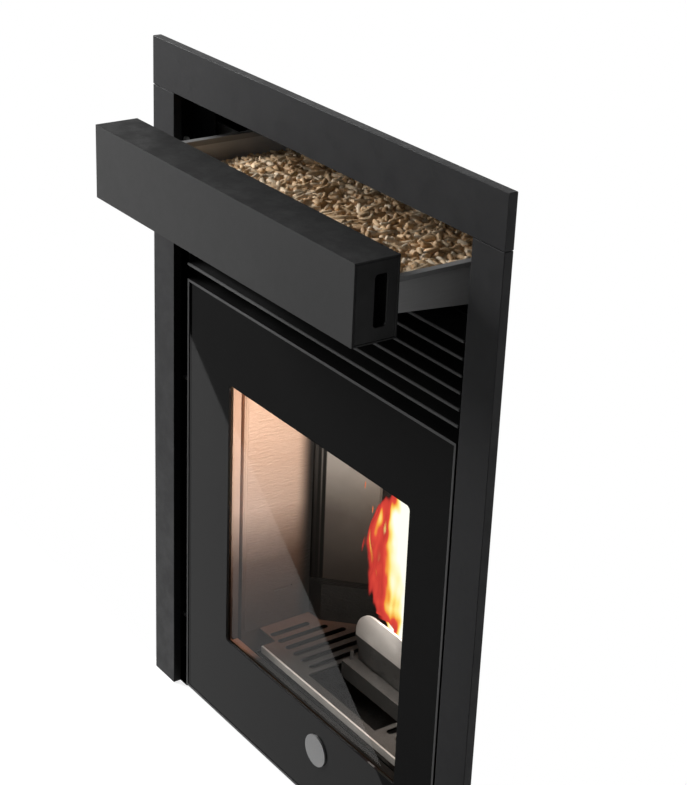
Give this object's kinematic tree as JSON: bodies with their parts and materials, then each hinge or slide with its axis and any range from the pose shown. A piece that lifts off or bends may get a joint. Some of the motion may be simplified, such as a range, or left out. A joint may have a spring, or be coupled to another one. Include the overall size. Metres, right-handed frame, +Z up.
{
  "type": "pellet insert",
  "caption": "Built-in wood pellet heater with a flat surround, a glazed fire door, a louvred hot air outlet and a pellet drawer on top, sliding on a fixed base.",
  "frame": {"origin": "centre of the four anchor holes in the base tray, on the hearth", "axes": "+Z up; +Y into the wall, along the flue socket; +X to the right of someone who faces the fire"},
  "size_m": [0.6, 0.6545, 0.8],
  "materials": {
    "surround_paint": "matte anthracite paint on sheet steel",
    "drawer_paint": "matte anthracite paint, slightly lighter than the surround",
    "black_paint": "black heat resistant paint",
    "door_face": "black, smooth and slightly glossy",
    "door_edge": "dark grey folded edge",
    "badge_metal": "plain round badge, blank",
    "ceramic_glass": "clear ceramic glass",
    "seal_rope": "glass fibre rope and tape",
    "tray_steel": "grey sheet steel tray",
    "zinc_steel": "galvanised sheet steel",
    "dark_steel": "dark grey painted sheet steel",
    "flue_steel": "plain steel pipe and ducts",
    "fire_steel": "bare steel plates warmed by the fire",
    "hearth_iron": "grey cast iron, ash stained",
    "fan_alloy": "thin aluminium",
    "motor_iron": "motor bodies",
    "black_plastic": "black plastic",
    "red_plastic": "red plastic button",
    "pellets": "pressed wood pellets"
  },
  "bodies": {
    "base": {"base_tray": "dark_steel", "slide_rails": "zinc_steel", "flue_bracket": "dark_steel", "flue_sleeve": "flue_steel"},
    "insert": {"chassis_pan": "zinc_steel", "slide_runners": "zinc_steel", "side_panel_left": "zinc_steel", "side_panel_right": "zinc_steel", "rear_panel": "zinc_steel", "top_panel": "zinc_steel", "front_plate": "black_paint", "surround_top": "surround_paint", "surround_left": "surround_paint", "surround_right": "surround_paint", "surround_brackets": "zinc_steel", "surround_screws": "zinc_steel", "hot_air_grille": "black_paint", "firebox_shell": "black_paint", "firebox_liners": "fire_steel", "corner_liners": "fire_steel", "corner_skirts": "fire_steel", "hearth_plate": "hearth_iron", "baffle_plate": "fire_steel", "exchanger_tubes": "flue_steel", "air_duct": "zinc_steel", "burner_support": "hearth_iron", "igniter": "zinc_steel", "ash_pan": "hearth_iron", "air_intake_tube": "flue_steel", "hopper": "flue_steel", "auger_tube": "flue_steel", "pellet_chute": "flue_steel", "auger_motor": "motor_iron", "room_fan_housing": "fan_alloy", "fan_motors": "motor_iron", "exhaust_housing": "flue_steel", "smoke_duct": "flue_steel", "flue_spigot": "flue_steel", "control_box": "black_plastic", "mains_inlet": "black_plastic", "drawer_channels": "zinc_steel", "hinge_brackets": "black_paint"},
    "drawer": {"drawer_front": "drawer_paint", "drawer_end_caps": "drawer_paint", "drawer_tray": "tray_steel", "pellet_bed": "pellets"},
    "rollers": {"drawer_rollers": "zinc_steel"},
    "door": {"door_trim": "door_edge", "door_panel": "door_face", "badge": "badge_metal", "door_glass": "ceramic_glass", "door_frame": "black_paint", "door_seals": "seal_rope"},
    "latch": {"latch_handle": "surround_paint"},
    "pot": {"burner_pot": "hearth_iron"},
    "auger": {"auger_screw": "flue_steel"},
    "smoke_fan": {"exhaust_wheel": "flue_steel"},
    "air_fan": {"room_wheel": "fan_alloy"},
    "switch": {"rocker_switch": "black_plastic"},
    "reset": {"reset_button": "red_plastic"}
  },
  "joints": [
    {"name": "service_slide", "type": "slide", "parent": "base", "child": "insert", "axis": [0, -1, 0], "range_m": [0, 0.25]},
    {"name": "drawer_slide", "type": "slide", "parent": "insert", "child": "drawer", "axis": [0, -1, 0], "range_m": [-0.117, 0]},
    {"name": "roller_spin", "type": "hinge", "parent": "drawer", "child": "rollers", "pos_m": [0, -0.0625, 0.6884], "axis": [1, 0, 0], "range_deg": [-840, 0]},
    {"name": "door_hinge", "type": "hinge", "parent": "insert", "child": "door", "pos_m": [-0.234, -0.248, 0], "axis": [0, 0, -1], "range_deg": [0, 100]},
    {"name": "latch_turn", "type": "hinge", "parent": "door", "child": "latch", "pos_m": [0.245, -0.2513, 0.07], "axis": [1, 0, 0], "range_deg": [0, 35]},
    {"name": "pot_lift", "type": "slide", "parent": "insert", "child": "pot", "axis": [0, 0, 1], "range_m": [0, 0.06]},
    {"name": "auger_turn", "type": "hinge", "parent": "insert", "child": "auger", "pos_m": [0.016, 0.03, 0.298], "axis": [0, 1, 0], "continuous": true},
    {"name": "smoke_fan_turn", "type": "hinge", "parent": "insert", "child": "smoke_fan", "pos_m": [0.201, 0.1, 0.115], "axis": [1, 0, 0], "continuous": true},
    {"name": "air_fan_turn", "type": "hinge", "parent": "insert", "child": "air_fan", "pos_m": [0.021, 0.0055, 0.092], "axis": [1, 0, 0], "continuous": true},
    {"name": "switch_rock", "type": "hinge", "parent": "insert", "child": "switch", "pos_m": [-0.23, 0.197, 0.162], "axis": [1, 0, 0], "range_deg": [0, 16]},
    {"name": "reset_press", "type": "slide", "parent": "insert", "child": "reset", "axis": [0, -1, 0], "range_m": [0, 0.0025], "stiffness_N_per_m": 400}
  ],
  "couplings": [
    {"joint": "roller_spin", "follows": "drawer_slide", "rad_per_m": 125}
  ]
}
